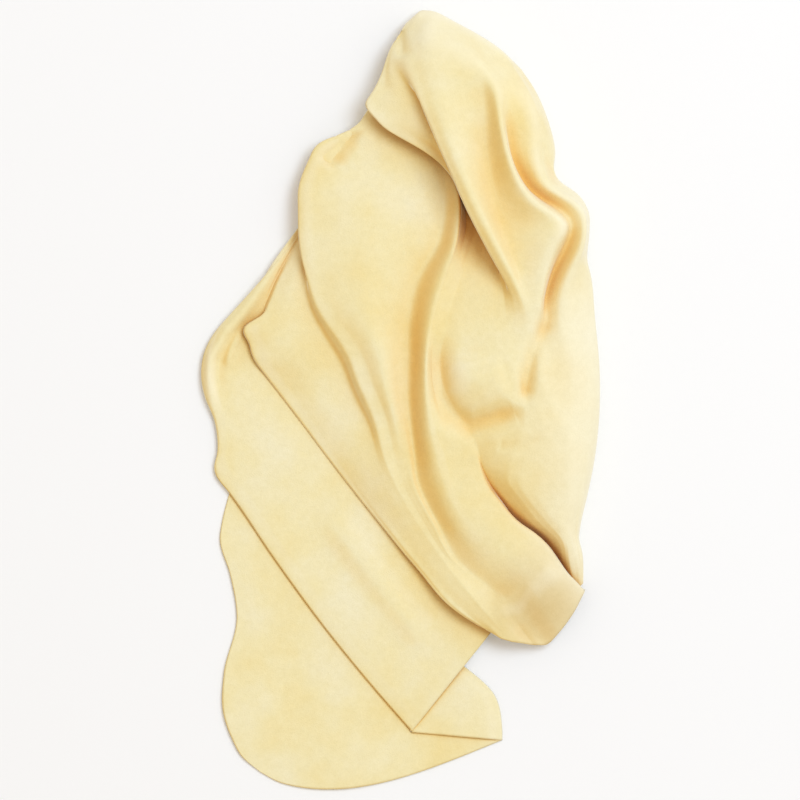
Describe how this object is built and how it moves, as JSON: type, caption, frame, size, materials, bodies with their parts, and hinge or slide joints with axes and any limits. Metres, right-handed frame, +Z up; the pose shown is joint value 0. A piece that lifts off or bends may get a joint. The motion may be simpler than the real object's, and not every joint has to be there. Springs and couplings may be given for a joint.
{
  "type": "chamois leather",
  "caption": "Natural chamois leather for drying and polishing: one soft cream suede skin with wavy cut edges, loosely folded back and forth and laid down.",
  "frame": {"origin": "middle of the folded skin's outline, on the surface that it lies on", "axes": "+X across the folds, to the right in the picture; +Y along the folds, up in the picture; +Z up from the surface"},
  "size_m": [0.2494, 0.4826, 0.0427],
  "materials": {
    "chamois": "matte napped suede, cream with faint ochre clouds"
  },
  "bodies": {
    "root": {"chamois_skin": "chamois"}
  },
  "joints": []
}
